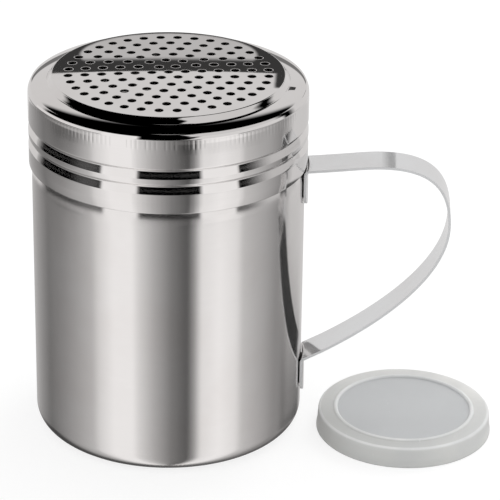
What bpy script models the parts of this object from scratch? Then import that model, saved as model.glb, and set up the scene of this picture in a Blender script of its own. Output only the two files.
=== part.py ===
"""Stainless spice shaker: a drawn cup with a strap handle, a perforated lid and a loose snap cap.

Metres, +Z up. The origin is the middle of the cup's base, and the handle points along +X.
"""

import math

import bmesh
import bpy
from mathutils import Vector
from mathutils.geometry import interpolate_bezier

# Cup, drawn from one stainless blank
CUP_RADIUS = 0.0343
CUP_HEIGHT = 0.0917
CUP_WALL = 0.0006
BASE_CORNER_RADIUS = 0.0045
SHOULDER_RADIUS = 0.0030
NECK_FILLET_RADIUS = 0.0015
NECK_RING_HEIGHT = 0.0010

# Lid, pressed from one stainless blank
LID_OVERHANG = 0.0007
LID_WALL = 0.0005
LID_HEIGHT = 0.0230
LID_ROUND_RADIUS = 0.0026
DISC_RADIUS = 0.0292
DISC_RISE = 0.0023
DISC_EDGE_RADIUS = 0.0006
COVE_RADIUS = 0.0015
GROOVE_COUNT = 2
GROOVE_PITCH = 0.0040
GROOVE_WIDTH = 0.0028
GROOVE_DEPTH = 0.00045
GROOVE_RISE = 0.0063

# Holes in the lid: one in the middle and six rings of 6, 12, 18, 24, 30 and 36
HOLE_RADIUS = 0.00108
HOLE_PITCH = 0.00415
HOLE_RINGS = 6
HOLES_PER_STEP = 6
HOLE_START_ANGLE = math.radians(8.7)

# Strap handle, spot welded to the cup by a tab at each end
STRAP_WIDTH = 0.0101
STRAP_THICKNESS = 0.00065
STRAP_REACH = 0.0361
STRAP_RISE = 0.0543
STRAP_BEND_RADIUS = 0.0011
STRAP_EDGE_BREAK = 0.00012
TAB_LENGTH = 0.0098
TAB_CORNER_RADIUS = 0.0040

# Snap cap, moulded plastic, lying on the table in front of the handle
CAP_RADIUS = 0.0225
CAP_HEIGHT = 0.0054
CAP_WALL = 0.0009
CAP_DRAFT = 0.0004
CAP_EDGE_RADIUS = 0.0008
CAP_LIP_HEIGHT = 0.0007
BEAD_RADIUS = 0.0176
BEAD_WIDTH = 0.0012
BEAD_HEIGHT = 0.0004
PANEL_DROP = 0.0003
CAP_STANDOFF = 0.0047
CAP_BEARING = math.radians(-4.47)

# Clearances between pieces
SEAT_CLEARANCE = 0.0003
RING_CLEARANCE = 0.00035
RIM_TO_SHOULDER = 0.0028
RIM_TO_STRAP = 0.0009
WELD_GAP = 0.00025
CUT_OVERRUN = 0.0010
FLAT_MARGIN = 0.00001

# Facets
SHELL_SEGMENTS = 44
CAP_SEGMENTS = 36
HOLE_SIDES = 8
STRAP_STEPS = 8
BEND_STEPS = 4
TAB_STEPS = 4

# A rolled ring's section, as shares of its width and of its height
RING_SHARES = ((0.5, 0.0), (0.25, 0.5), (0.0, 1.0), (-0.25, 0.5), (-0.5, 0.0))

# The strap's middle line, as shares of its reach and rise: knot, two handles, knot
STRAP_CURVE_SHARES = (
    ((0.0, 0.969), (0.30, 0.985), (0.45, 1.0), (0.62, 1.0)),
    ((0.62, 1.0), (0.86, 1.0), (1.0, 0.885), (1.0, 0.713)),
    ((1.0, 0.713), (1.0, 0.470), (0.571, 0.204), (0.0, 0.0)),
)

# Sizes that follow from the ones above
LID_RADIUS = CUP_RADIUS + LID_OVERHANG
NECK_RING_RADIUS = LID_RADIUS - LID_WALL - GROOVE_DEPTH - RING_CLEARANCE
NECK_RADIUS = NECK_RING_RADIUS - NECK_RING_HEIGHT
STEP_LEVEL = SEAT_CLEARANCE + LID_WALL
DISC_LEVEL = STEP_LEVEL + DISC_RISE
RIM_LEVEL = DISC_LEVEL - LID_HEIGHT
RIM_HEIGHT = CUP_HEIGHT + RIM_LEVEL
BODY_TOP = RIM_HEIGHT - RIM_TO_SHOULDER


def arc(centre_radius, centre_height, radius, start, end, steps):
    """Points of an arc in the profile plane, both ends included, angles in degrees."""
    points = []
    for step in range(steps + 1):
        angle = math.radians(start + (end - start) * step / steps)
        points.append((centre_radius + radius * math.cos(angle), centre_height + radius * math.sin(angle)))
    return points


def rolled_ring(radius, height, swell):
    """Section of a ring rolled into a wall, from its upper to its lower end; swell is outward."""
    return [(radius + swell * share, height + GROOVE_WIDTH * along) for along, share in RING_SHARES]


def groove_levels():
    """Heights of the grooves' middles above the lid's rim, the lowest first."""
    return [GROOVE_RISE + GROOVE_PITCH * number for number in range(GROOVE_COUNT)]


def cup_profile():
    """Outer side of the cup from the base's edge to the mouth."""
    inset = CUP_RADIUS - NECK_RADIUS
    sweep_radius = SHOULDER_RADIUS + NECK_FILLET_RADIUS
    turn = math.degrees(math.acos(1 - inset / sweep_radius))
    neck_start = BODY_TOP + sweep_radius * math.sin(math.radians(turn))
    points = arc(CUP_RADIUS - BASE_CORNER_RADIUS, BASE_CORNER_RADIUS, BASE_CORNER_RADIUS, -90, 0, 4)
    points += arc(CUP_RADIUS - SHOULDER_RADIUS, BODY_TOP, SHOULDER_RADIUS, 0, turn, 3)
    points += arc(NECK_RADIUS + NECK_FILLET_RADIUS, neck_start, NECK_FILLET_RADIUS, 180 + turn, 180, 2)[1:]
    for level in groove_levels():
        points += reversed(rolled_ring(NECK_RADIUS, RIM_HEIGHT + level, NECK_RING_HEIGHT))
    points.append((NECK_RADIUS, CUP_HEIGHT))
    return points


def lid_profile():
    """Outer side of the lid from the disc's flat to the rim, with the cup's mouth at height zero."""
    edge_centre = DISC_RADIUS - DISC_EDGE_RADIUS
    points = arc(edge_centre, DISC_LEVEL - DISC_EDGE_RADIUS, DISC_EDGE_RADIUS, 90, 0, 2)
    points += arc(DISC_RADIUS + COVE_RADIUS, STEP_LEVEL + COVE_RADIUS, COVE_RADIUS, 180, 270, 2)
    round_centre = LID_RADIUS - LID_ROUND_RADIUS
    points += arc(round_centre, STEP_LEVEL - LID_ROUND_RADIUS, LID_ROUND_RADIUS, 90, 0, 3)
    for level in reversed(groove_levels()):
        points += rolled_ring(LID_RADIUS, RIM_LEVEL + level, -GROOVE_DEPTH)
    points.append((LID_RADIUS, RIM_LEVEL))
    return points


def cap_profile():
    """Section of the cap from the panel's edge over the skirt to the edge of the flat ceiling inside."""
    skirt_radius = CAP_RADIUS - CAP_DRAFT
    points = [
        (BEAD_RADIUS - BEAD_WIDTH / 2, CAP_HEIGHT - PANEL_DROP),
        (BEAD_RADIUS - BEAD_WIDTH / 4, CAP_HEIGHT + BEAD_HEIGHT),
        (BEAD_RADIUS + BEAD_WIDTH / 4, CAP_HEIGHT + BEAD_HEIGHT),
        (BEAD_RADIUS + BEAD_WIDTH / 2, CAP_HEIGHT),
    ]
    points += arc(skirt_radius - CAP_EDGE_RADIUS, CAP_HEIGHT - CAP_EDGE_RADIUS, CAP_EDGE_RADIUS, 90, 0, 3)
    points.append((CAP_RADIUS - CAP_DRAFT / 2, CAP_LIP_HEIGHT))
    points.append((CAP_RADIUS, CAP_LIP_HEIGHT / 2))
    points.append((CAP_RADIUS, 0))
    points.append((CAP_RADIUS - CAP_WALL, 0))
    inner_radius = skirt_radius - CAP_WALL
    ceiling = CAP_HEIGHT - PANEL_DROP - CAP_WALL
    points += arc(inner_radius - CAP_EDGE_RADIUS, ceiling - CAP_EDGE_RADIUS, CAP_EDGE_RADIUS, 0, 90, 2)
    return points


def rounded_corner(before, corner, after, radius, steps):
    """Replace a corner of a path by an arc of the given radius."""
    into = (corner - before).normalized()
    out = (after - corner).normalized()
    turn = into.angle(out)
    cut_back = radius * math.tan(turn / 2)
    to_centre = (out - into).normalized()
    centre = corner + to_centre * (radius / math.cos(turn / 2))
    first = (corner - into * cut_back - centre).normalized()
    last = (corner + out * cut_back - centre).normalized()
    return [centre + first.slerp(last, step / steps) * radius for step in range(steps + 1)]


def strap_line():
    """The strap's middle line between the two tabs, in its own XZ plane."""
    line = []
    for knots in STRAP_CURVE_SHARES:
        points = [Vector((STRAP_REACH * reach, STRAP_RISE * rise)) for reach, rise in knots]
        line += interpolate_bezier(*points, STRAP_STEPS + 1)[bool(line):]
    return line


def strap_stations():
    """Places along the strap from the upper tab's tip to the lower one's, each with its half width."""
    half_width = STRAP_WIDTH / 2
    line = strap_line()
    upper_bend = rounded_corner(
        line[0] - Vector((0, TAB_LENGTH)), line[0], line[1], STRAP_BEND_RADIUS, BEND_STEPS)
    lower_bend = rounded_corner(
        line[-2], line[-1], line[-1] - Vector((0, TAB_LENGTH)), STRAP_BEND_RADIUS, BEND_STEPS)
    path = upper_bend + line[1:-1] + lower_bend
    upper_tip = []
    lower_tip = []
    for step in range(TAB_STEPS + 1):
        angle = math.radians(90) * step / TAB_STEPS
        rise = TAB_CORNER_RADIUS * (1 - math.cos(angle))
        tip_half_width = half_width - TAB_CORNER_RADIUS * (1 - math.sin(angle))
        upper_tip.append((line[0] + Vector((0, rise - TAB_LENGTH)), tip_half_width))
        lower_tip.append((line[-1] + Vector((0, rise - TAB_LENGTH)), tip_half_width))
    return upper_tip + [(point, half_width) for point in path] + lower_tip[::-1]


def smooth_shade(mesh, sharp_angle):
    """Shade a mesh smooth except at edges sharper than the angle."""
    mesh.shade_smooth()
    mesh.set_sharp_from_angle(angle=sharp_angle)


def add_object(name, bm, material, location, parent=None):
    """Turn a bmesh into a named object with its material."""
    mesh = bpy.data.meshes.new(name)
    bm.to_mesh(mesh)
    bm.free()
    smooth_shade(mesh, math.radians(40))
    if material:
        mesh.materials.append(material)
    item = bpy.data.objects.new(name, mesh)
    item.location = location
    item.parent = parent
    bpy.context.scene.collection.objects.link(item)
    return item


def ring_edges(bm, height):
    """The open edges of a turned surface at one height."""
    return [
        edge for edge in bm.edges
        if edge.is_boundary and abs(edge.verts[0].co.z - height) < FLAT_MARGIN]


def turned_surface(profile, segments, close_last=False):
    """Spin an open profile round the Z axis, close its first ring, or both, and face it outward."""
    bm = bmesh.new()
    verts = [bm.verts.new((radius, 0, height)) for radius, height in profile]
    edges = [bm.edges.new(pair) for pair in zip(verts, verts[1:])]
    bmesh.ops.spin(
        bm, geom=verts + edges, cent=(0, 0, 0), axis=(0, 0, 1),
        angle=math.radians(360), steps=segments, use_merge=True)
    bmesh.ops.edgeloop_fill(bm, edges=ring_edges(bm, profile[0][1]))
    if close_last:
        bmesh.ops.edgeloop_fill(bm, edges=ring_edges(bm, profile[-1][1]))
    bmesh.ops.recalc_face_normals(bm, faces=bm.faces)
    if bm.calc_volume(signed=True) < 0:
        bmesh.ops.reverse_faces(bm, faces=bm.faces)
    return bm


def add_wall(item, thickness, offset):
    """Give a surface its sheet thickness; offset -1 is inward, 0 is to both sides."""
    wall = item.modifiers.new("wall", "SOLIDIFY")
    wall.thickness = thickness
    wall.offset = offset
    wall.use_even_offset = True
    wall.use_quality_normals = True


def make_material(name, colour, metallic, roughness, transmission=0.0):
    """One Principled BSDF material."""
    material = bpy.data.materials.new(name)
    material.use_nodes = True
    shader = material.node_tree.nodes["Principled BSDF"]
    shader.inputs["Base Color"].default_value = (*colour, 1.0)
    shader.inputs["Metallic"].default_value = metallic
    shader.inputs["Roughness"].default_value = roughness
    shader.inputs["Transmission Weight"].default_value = transmission
    return material


def build_cup():
    """Drawn cup with a rounded base corner, a swept-in shoulder and a ringed neck."""
    steel = make_material("brushed_steel", (0.60, 0.59, 0.58), 1.0, 0.28)
    bm = turned_surface(cup_profile(), SHELL_SEGMENTS)
    cup = add_object("cup_shell", bm, steel, (0, 0, 0))
    add_wall(cup, CUP_WALL, -1)
    return cup


def build_strap(cup):
    """Strap handle bent from one flat strip, its two tabs lying along the cup's wall."""
    steel = make_material("strap_steel", (0.66, 0.65, 0.64), 1.0, 0.22)
    bm = bmesh.new()
    rows = []
    for point, half_width in strap_stations():
        near = bm.verts.new((point.x, -half_width, point.y))
        far = bm.verts.new((point.x, half_width, point.y))
        rows.append((near, far))
    for (near, far), (next_near, next_far) in zip(rows, rows[1:]):
        bm.faces.new((near, far, next_far, next_near))
    foot_height = RIM_HEIGHT - RIM_TO_STRAP - STRAP_RISE * STRAP_CURVE_SHARES[0][0][1]
    weld_radius = CUP_RADIUS + WELD_GAP + STRAP_THICKNESS / 2
    strap = add_object("strap_handle", bm, steel, (weld_radius, 0, foot_height), cup)
    add_wall(strap, STRAP_THICKNESS, 0)
    edge_break = strap.modifiers.new("edge_break", "BEVEL")
    edge_break.width = STRAP_EDGE_BREAK
    edge_break.segments = 1
    edge_break.limit_method = "ANGLE"
    edge_break.angle_limit = math.radians(60)
    return strap


def hole_places():
    """Centres of the lid's holes."""
    places = [(0.0, 0.0)]
    for ring in range(1, HOLE_RINGS + 1):
        count = HOLES_PER_STEP * ring
        for number in range(count):
            angle = HOLE_START_ANGLE + math.radians(360) * number / count
            places.append((ring * HOLE_PITCH * math.cos(angle), ring * HOLE_PITCH * math.sin(angle)))
    return places


def build_lid(cup):
    """Perforated lid with a raised disc, a round shoulder and two grooves rolled into its side."""
    steel = make_material("polished_steel", (0.72, 0.71, 0.70), 1.0, 0.10)
    bm = turned_surface(lid_profile(), SHELL_SEGMENTS)
    lid = add_object("perforated_lid", bm, steel, (0, 0, CUP_HEIGHT), cup)
    add_wall(lid, LID_WALL, -1)

    punches = bmesh.new()
    for x, y in hole_places():
        made = bmesh.ops.create_cone(
            punches, cap_ends=True, segments=HOLE_SIDES, radius1=HOLE_RADIUS, radius2=HOLE_RADIUS,
            depth=LID_WALL + 2 * CUT_OVERRUN)
        bmesh.ops.translate(punches, verts=made["verts"], vec=(x, y, DISC_LEVEL - LID_WALL / 2))
    punch = add_object("hole_punches", punches, None, (0, 0, 0), lid)
    punch.hide_render = True
    punch.display_type = "WIRE"

    holes = lid.modifiers.new("holes", "BOOLEAN")
    holes.operation = "DIFFERENCE"
    holes.solver = "EXACT"
    holes.object = punch
    return lid


def build_cap(cup):
    """Snap cap, a shallow moulding with a bead round its sunk panel, lying face up."""
    plastic = make_material("frosted_plastic", (0.82, 0.83, 0.82), 0.0, 0.35, 0.25)
    bm = turned_surface(cap_profile(), CAP_SEGMENTS, close_last=True)
    distance = CUP_RADIUS + CAP_STANDOFF + CAP_RADIUS
    place = (distance * math.cos(CAP_BEARING), distance * math.sin(CAP_BEARING), 0)
    return add_object("snap_cap", bm, plastic, place, cup)


def main():
    for item in list(bpy.data.objects):
        bpy.data.objects.remove(item, do_unlink=True)
    cup = build_cup()
    build_strap(cup)
    build_lid(cup)
    build_cap(cup)


main()
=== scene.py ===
"""Spice shaker: fine meshes and finishes for its cup, strap, lid and loose cap, in a plain studio.

Metres, +Z up. The shaker stands on the origin and its handle points along +X.
"""

import math

import bmesh
import bpy
from mathutils import Matrix, Vector
from mathutils.geometry import delaunay_2d_cdt, interpolate_bezier


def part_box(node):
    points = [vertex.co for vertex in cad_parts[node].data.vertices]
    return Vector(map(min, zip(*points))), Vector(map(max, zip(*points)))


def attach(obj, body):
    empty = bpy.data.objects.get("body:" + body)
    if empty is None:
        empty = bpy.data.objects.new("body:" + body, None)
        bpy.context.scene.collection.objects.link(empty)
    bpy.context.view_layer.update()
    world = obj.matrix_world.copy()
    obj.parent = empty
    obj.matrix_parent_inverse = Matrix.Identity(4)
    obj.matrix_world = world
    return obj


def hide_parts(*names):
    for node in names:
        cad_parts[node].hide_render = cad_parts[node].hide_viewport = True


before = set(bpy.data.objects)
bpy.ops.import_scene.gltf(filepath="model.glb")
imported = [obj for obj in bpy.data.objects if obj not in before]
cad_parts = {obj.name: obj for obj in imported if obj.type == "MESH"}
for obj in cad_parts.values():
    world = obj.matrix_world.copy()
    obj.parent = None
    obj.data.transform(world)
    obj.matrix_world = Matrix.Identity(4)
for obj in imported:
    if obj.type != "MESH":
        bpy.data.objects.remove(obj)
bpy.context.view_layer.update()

bl_info = {
    "name": "Spice shaker",
    "version": (1, 0, 0),
    "blender": (4, 5, 0),
    "location": "View3D > Sidebar > Shaker",
    "description": "Builds a stainless spice shaker with a strap handle, a perforated lid and a plastic cap",
    "category": "Add Mesh",
}

MM = 0.001
DEGREE = math.radians(1)
FULL_TURN = math.radians(360)
POLE = 1e-6

CUP_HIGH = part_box("cup_shell")[1]
LID_LOW, LID_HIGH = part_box("perforated_lid")
CAP_LOW, CAP_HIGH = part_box("snap_cap")

# Cup
CUP_RADIUS = CUP_HIGH.x
CUP_HEIGHT = CUP_HIGH.z
CUP_TURNS = 288
NECK_RADIUS = 32.7 * MM
# The neck's rings: their swell, their height, and how far their middle lies under a groove's top
NECK_RING = 1.0 * MM
NECK_RING_SPAN = 2.6 * MM
NECK_RING_DROP = 1.4 * MM
LIP_RADIUS = 0.2 * MM
# Steps of its profile: base corner, wall, shoulder, fillet, each ring and lip
CORNER_STEPS = 14
WALL_STEPS = 20
SWEEP_STEPS = 12
FILLET_STEPS = 8
RING_STEPS = 10
LIP_STEPS = 4

# Lid
LID_RADIUS = LID_HIGH.x
LID_TOP = LID_HIGH.z
RIM_LEVEL = LID_LOW.z
DISC_RADIUS = 29.2 * MM
DISC_EDGE = 0.35 * MM
# The polished step round the disc: a wall that leans out, a cove, and a shoulder that ends in a steep cone
WALL_LEANS = (27, 33)
WALL_HOLD = 0.5 * MM
COVE = 0.45 * MM
COVE_END = 267
TROUGH = (30.35 * MM, 92.95 * MM)
SHOULDER_MM = (
    ((30.35, 92.95), (31.7, 92.82), (34.15, 92.52), (34.4, 92.03)),
    ((34.4, 92.03), (34.6, 91.63), (34.8, 91.22), (34.93, 90.8)),
)
SHOULDER_STEPS = (18, 7)
KNURL_TOP = 90.7 * MM
KNURL_FOOT = 88.2 * MM
KNURL_SINK = 0.024 * MM
# Which verts a line takes: so far over the band's ends, so near its outside, and so near the line
KNURL_MARGIN = 0.1 * MM
BAND_DEPTH = 0.3 * MM
ON_LINE = 0.01
# Places across one knurl line: the line, its first edge, the land's middle, and the next line's edge
KNURL_SHARES = (0.0, 0.11, 0.5, 0.89)
# Down the knurled band: how far short of the lid's radius it is, and how far under the knurl's top
BAND_MM = ((0.1, 0), (0.05, 0.3), (0.02, 0.9), (0.01, 1.6), (0.005, 2.1), (0, 2.5), (0, 4))
GROOVE_TOPS = (83.5 * MM, 79.5 * MM)
GROOVE_INNER = 0.5 * MM
GROOVE_FALL = 0.75 * MM
GROOVE_SLOPE = 2.05 * MM
# Steps of a groove's turn inward, places down its slope back out, and the straight wall over and under it
GROOVE_STEPS = 7
GROOVE_SHARES = (0.08, 0.2, 0.35, 0.5, 0.65, 0.8, 0.92, 1.0)
GROOVE_MARGINS = (0.25 * MM, 0.2 * MM)
RIM_BAND = 2.5 * MM
RIM_EDGE = 0.2 * MM
RIM_STEPS = 4

# Holes in the lid, as in the solids: one in the middle and six rings
HOLE_PITCH = 4.15 * MM
HOLE_RINGS = 6
HOLES_PER_STEP = 6
HOLE_START = 8.7 * DEGREE
HOLE_SIDES = 24
# Section of a punched hole's edge: distance out from the hole's wall, and height over the disc
HOLE_EDGE = (
    (0.20 * MM, 0.0), (0.13 * MM, 0.006 * MM), (0.07 * MM, 0.01 * MM), (0.03 * MM, 0.0), (0.0, -0.04 * MM))
HOLE_FLARE = 0.1 * MM
# Faces of the disc that lie further than this under its skin are the holes' walls, darkened as painted shade
PUNCHED_DEPTH = 0.01 * MM
DISC_MIDDLE = LID_TOP - 0.01 * MM
# A ring of loose points beyond the holes, which keeps the disc's triangles in shape
LOOSE_RADIUS = 27.3 * MM
LOOSE_POINTS = 96
MERGE_REACH = 1e-7
# A triangle whose middle is within this share of a hole's opening fills the hole
FILLED_SHARE = 0.98

# Strap handle, along the same line as the solid
STRAP_ORIGIN = Vector((34.875 * MM, 0, 18.2833 * MM))
STRAP_WIDTH = 10.1 * MM
STRAP_REACH = 36.1 * MM
STRAP_RISE = 54.3 * MM
STRAP_BEND = 1.1 * MM
BEND_STEPS = 8
# How far out from the tabs the strip still follows the wall's curve
HUG_REACH = 6.0 * MM
STRAP_CURVE_SHARES = (
    ((0.0, 0.969), (0.26, 0.983), (0.40, 1.0), (0.52, 1.0)),
    ((0.52, 1.0), (0.82, 1.0), (1.0, 0.93), (1.0, 0.713)),
    ((1.0, 0.713), (1.0, 0.470), (0.571, 0.204), (0.0, 0.0)),
)
STRAP_STEPS = 40
STRAP_COLUMNS = 24
TAB_LENGTH = 9.8 * MM
TAB_CORNER = 4.0 * MM
TAB_STEPS = 18
TAB_SIDE_STEPS = 8
ON_TAB = 0.1 * MM
# Weld marks on a tab: their radius, and how far up from its tip they lie
WELD_RADIUS = 1.3 * MM
WELD_PLACES = (3.0 * MM, 6.2 * MM)
# A dark pad between a tab and the wall, painted shade of the gap there: half its width, where it starts and
# ends on the tab, how far it goes into the wall and short of the strip's middle, and how much narrower it is
# halfway
GAP_PAD_HALF = 2.2 * MM
GAP_PAD_FROM = 1.0 * MM
GAP_PAD_TO = 9.2 * MM
GAP_PAD_INTO_WALL = 0.02 * MM
GAP_PAD_SHORT = 0.3 * MM
GAP_PAD_WAIST = 0.15 * MM
GAP_PAD_SIDES = 32
# Bevel of the strip's edges
EDGE_SEGMENTS = 3
EDGE_ANGLE = 60 * DEGREE

# Cap
CAP_CENTRE = Vector(((CAP_LOW.x + CAP_HIGH.x) / 2, (CAP_LOW.y + CAP_HIGH.y) / 2, 0))
CAP_RADIUS = (CAP_HIGH.x - CAP_LOW.x) / 2
CAP_TURNS = 192
CAP_BEAD_TOP = CAP_HIGH.z
CAP_FOOT_EDGE = 0.12 * MM
BEAD_STEPS = 8

# Steel: spots to the metre and tint of its stains, how much they blur it, and the colour of its lines
STAIN_SPOTS = (55, 55, 40)
STAIN_TINT = (0.965, 0.955, 0.95)
STAIN_BLUR = 0.012
LINE_COLOUR = (0.42, 0.41, 0.405, 1)
QUARTER_TURN = 0.25
# Fine lines and broader grain, in spots to the metre along X, Y and Z
ROUND_LINES = ((110, 110, 5200), (40, 40, 900))
DISC_LINES = ((700, 700, 900), (160, 160, 160))
STRAP_LINES = ((140, 4800, 140), (60, 1100, 60))

# Plastic: spots to the metre of its clouds and scuffs, and colours of its ridges' painted highlight and its
# scuffs
CLOUD_SPOTS = (75, 75, 75)
SCUFF_SPOTS = (900, 160, 500)
RIDGE_HIGHLIGHT_COLOUR = (0.90, 0.905, 0.90, 1)
SCUFF_COLOUR = (0.9, 0.9, 0.92, 1)
PLASTIC_IOR = 1.49

# Camera: where it stands, which way the handle is turned to it, and how the shaker is framed
HANDLE_TURN = 4 * DEGREE
CAMERA_DISTANCE = 0.700
CAMERA_RISE = 24.876 * DEGREE
AIM_HEIGHT = 47.5 * MM
FOCAL_PIXELS = 2745.0
FRAME_PIXELS = 500
SENSOR = 36.0
CLIP_NEAR = 0.01
CLIP_FAR = 50
AXIS_COLUMN = 168.6
AIM_ROW = 245.1
SIDEWAYS = Vector((math.cos(HANDLE_TURN), math.sin(HANDLE_TURN), 0))
ONWARD = Vector((-math.sin(HANDLE_TURN), math.cos(HANDLE_TURN), 0))

# Floor: its rings of verts, and how bright it is to the camera
FLOOR_RADII = (0, 0.3, 1.0, 3.0)
FLOOR_TURNS = 96
FLOOR_WHITE = 1.15

# Lamp: its width, its place to the right, behind and up, and the height it is aimed at
LAMP_WIDTH = 0.5
LAMP_ASIDE = 0.35
LAMP_BEHIND = 0.45
LAMP_HEIGHT = 0.6
LAMP_AIM = 30 * MM

# The studio that polished steel mirrors, in degrees, with azimuths from the camera's side.
# First the ring of light round the shaker, as azimuths and brightness; a ramp's full white stands for its top
RING_TOP = 1.1
LIGHT_RING = (
    (-180, 0.60), (-140, 0.33), (-123, 0.21), (-100, 0.33), (-68, 0.58), (-62, 0.80), (-48, 1.02),
    (-31, 1.02), (-26, 0.82), (-12, 0.49), (2, 0.24), (16, 0.12), (22, 0.40), (28, 0.92),
    (44, 1.05), (60, 0.92), (66, 0.66), (105, 0.30), (114, 0.45), (124, 0.70), (180, 0.62),
)
# Dimmer parts of the ring: heights and azimuths, each from, to and how soft, and how much they dim
DIM_PARTS = (
    ((-31.5, -26.7, 0.5), (112, 160, 8), 0.86),
    ((-23, -19, 0.35), (-112, -76, 13), 0.6),
    ((-23, -19, 0.15), (8, 22, 5), 0.45),
    ((-23, -19, 0.15), (28, 84, 8), 0.16),
)
# Panels over the ring: azimuths from, to and how soft
LEFT_PANEL = (-130, -54.5, 2.5)
NEAR_LEFT_PANEL = (-54.5, -24.5, 2.5)
MIDDLE_PANEL = (-24.5, 7, 2)
OPEN_PANEL = (25.6, 56.6, 2)
# Which walls mirror the panels: how far back they lean, from, to and how soft
GROOVE_LEANS = (5, 17, 0.35)
LINE_LEANS = (16.6, 17.6, 0.35)
LEFT_CONE_LEANS = (17, 26, 0.35)
RIGHT_CONE_LEANS = (16.5, 26, 0.35)
STEP_LEANS = (26, 54, 0.5)


def operator_pair(operation):
    """An operator that adds its Math node, and its reflected form, as in 1 - mask."""
    def forward(wire, other):
        return wire.maths(operation, wire, other)

    def reflected(wire, other):
        return wire.maths(operation, other, wire)
    return forward, reflected


class Wire:
    """A shader socket that plain arithmetic can be done with."""

    __add__, __radd__ = operator_pair("ADD")
    __sub__, __rsub__ = operator_pair("SUBTRACT")
    __mul__, __rmul__ = operator_pair("MULTIPLY")
    __truediv__, __rtruediv__ = operator_pair("DIVIDE")
    __pow__, __rpow__ = operator_pair("POWER")

    def __init__(self, board, socket):
        self.board = board
        self.socket = socket

    def __abs__(self):
        return self.maths("ABSOLUTE", self)

    def maths(self, operation, *values):
        """A Math node on any values or sockets."""
        return self.board.node("ShaderNodeMath", {"operation": operation}, dict(enumerate(values)))


class Board:
    """The nodes of one material, or of the world."""

    def __init__(self, owner):
        owner.use_nodes = True
        self.tree = owner.node_tree
        self.tree.nodes.clear()

    @staticmethod
    def find(sockets, key):
        """A socket by its place, its identifier or its name."""
        if isinstance(key, int):
            return sockets[key]
        for socket in sockets:
            if socket.identifier == key:
                return socket
        return sockets[key]

    def node(self, kind, settings=None, inputs=None, output=0):
        """One node: its settings first, then its sockets' values or links; gives the named output."""
        made = self.tree.nodes.new(kind)
        for name, value in (settings or {}).items():
            if name == "stops":
                self.set_stops(made.color_ramp, value)
            else:
                setattr(made, name, value)
        for key, value in (inputs or {}).items():
            socket = self.find(made.inputs, key)
            if isinstance(value, Wire):
                self.tree.links.new(value.socket, socket)
            else:
                socket.default_value = value
        return Wire(self, self.find(made.outputs, output)) if len(made.outputs) else made

    @staticmethod
    def set_stops(ramp, stops):
        """Give a colour ramp its stops, as places and grey levels."""
        while len(ramp.elements) > 1:
            ramp.elements.remove(ramp.elements[-1])
        for number, (place, level) in enumerate(stops):
            element = ramp.elements[0] if number == 0 else ramp.elements.new(place)
            element.position = place
            element.color = (level, level, level, 1)

    def blend(self, mask, first, second):
        """A colour between two, by a mask."""
        return self.node(
            "ShaderNodeMix", {"data_type": "RGBA"},
            {"Factor_Float": mask, "A_Color": first, "B_Color": second}, "Result_Color")

    def rise(self, value, start, end):
        """A mask that climbs smoothly from 0 to 1 as the value goes from start to end."""
        return self.node(
            "ShaderNodeMapRange", {"interpolation_type": "SMOOTHSTEP"},
            {"Value": value, "From Min": start, "From Max": end})

    def between(self, value, low, high, soft):
        """A mask that is 1 between two values and fades over a soft edge."""
        return self.rise(value, low - soft, low + soft) * self.rise(value, high + soft, high - soft)

    def dot(self, vector, direction):
        """How far a vector reaches along a direction."""
        return self.node(
            "ShaderNodeVectorMath", {"operation": "DOT_PRODUCT"}, {0: vector, 1: direction}, "Value")

    def place(self, stretch):
        """Object coordinates stretched along each axis."""
        place = self.node("ShaderNodeTexCoord", output="Object")
        return self.node("ShaderNodeVectorMath", {"operation": "MULTIPLY"}, {0: place, 1: stretch})

    def noise(self, stretch, detail=2.0, roughness=0.5):
        """Soft noise in object coordinates, so many spots to the metre along each axis."""
        return self.node(
            "ShaderNodeTexNoise", None,
            {"Vector": self.place(stretch), "Scale": 1.0, "Detail": detail, "Roughness": roughness})

    def oval(self, across, height, middle, halves, soft):
        """A mask that is 1 inside an oval with the given middle height and half sizes."""
        reach = (across / halves[0]) ** 2 + ((height - middle) / halves[1]) ** 2
        return self.rise(reach, 1 + soft, 1 - soft)

    def bump(self, height, depth):
        """A normal bumped by a height from 0 to 1, that is so deep."""
        return self.node("ShaderNodeBump", None, {"Height": height, "Distance": depth, "Strength": 1.0})

    def ray_kinds(self, *names):
        """The named outputs of one Light Path node."""
        outputs = self.node("ShaderNodeLightPath").socket.node.outputs
        return [Wire(self, outputs[name]) for name in names]

    def mix(self, mask, first, second):
        """A shader between two, by a mask."""
        return self.node("ShaderNodeMixShader", None, {0: mask, 1: first, 2: second})

    def background(self, colour, strength):
        """Light of the world itself."""
        return self.node("ShaderNodeBackground", None, {"Color": colour, "Strength": strength})

    def finish(self, shader, kind="ShaderNodeOutputMaterial"):
        """Join the shader to the output."""
        self.node(kind, None, {"Surface": shader})


def steel(name, look, along):
    """Stainless steel: fine lines in the given direction, soft stains, and a polish or a brushed blur."""
    material = bpy.data.materials.new(name)
    board = Board(material)
    fine, broad = along
    lines = board.noise(fine, 3.0, 0.7)
    grain = board.noise(broad, 2.0)
    mottled = board.rise(board.noise(STAIN_SPOTS, 3.0, 0.6), 0.35, 0.75)
    stained = [level * tint for level, tint in zip(look.colour, STAIN_TINT)]
    colour = board.blend(mottled, (*look.colour, 1), (*stained, 1))
    colour = board.blend(board.rise(lines, 0.3, 0.8) * look.line_depth, colour, LINE_COLOUR)
    roughness = look.roughness + (lines - 0.5) * look.line_blur + (mottled - 0.5) * STAIN_BLUR
    shader = board.node("ShaderNodeBsdfPrincipled", None, {
        "Base Color": colour, "Metallic": look.bareness, "Roughness": roughness,
        "Anisotropic": look.brushed, "Anisotropic Rotation": QUARTER_TURN if look.brushed else 0.0,
        "Normal": board.bump(lines * 0.6 + grain * 0.4, look.relief)})
    board.finish(shader)
    return material


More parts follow.
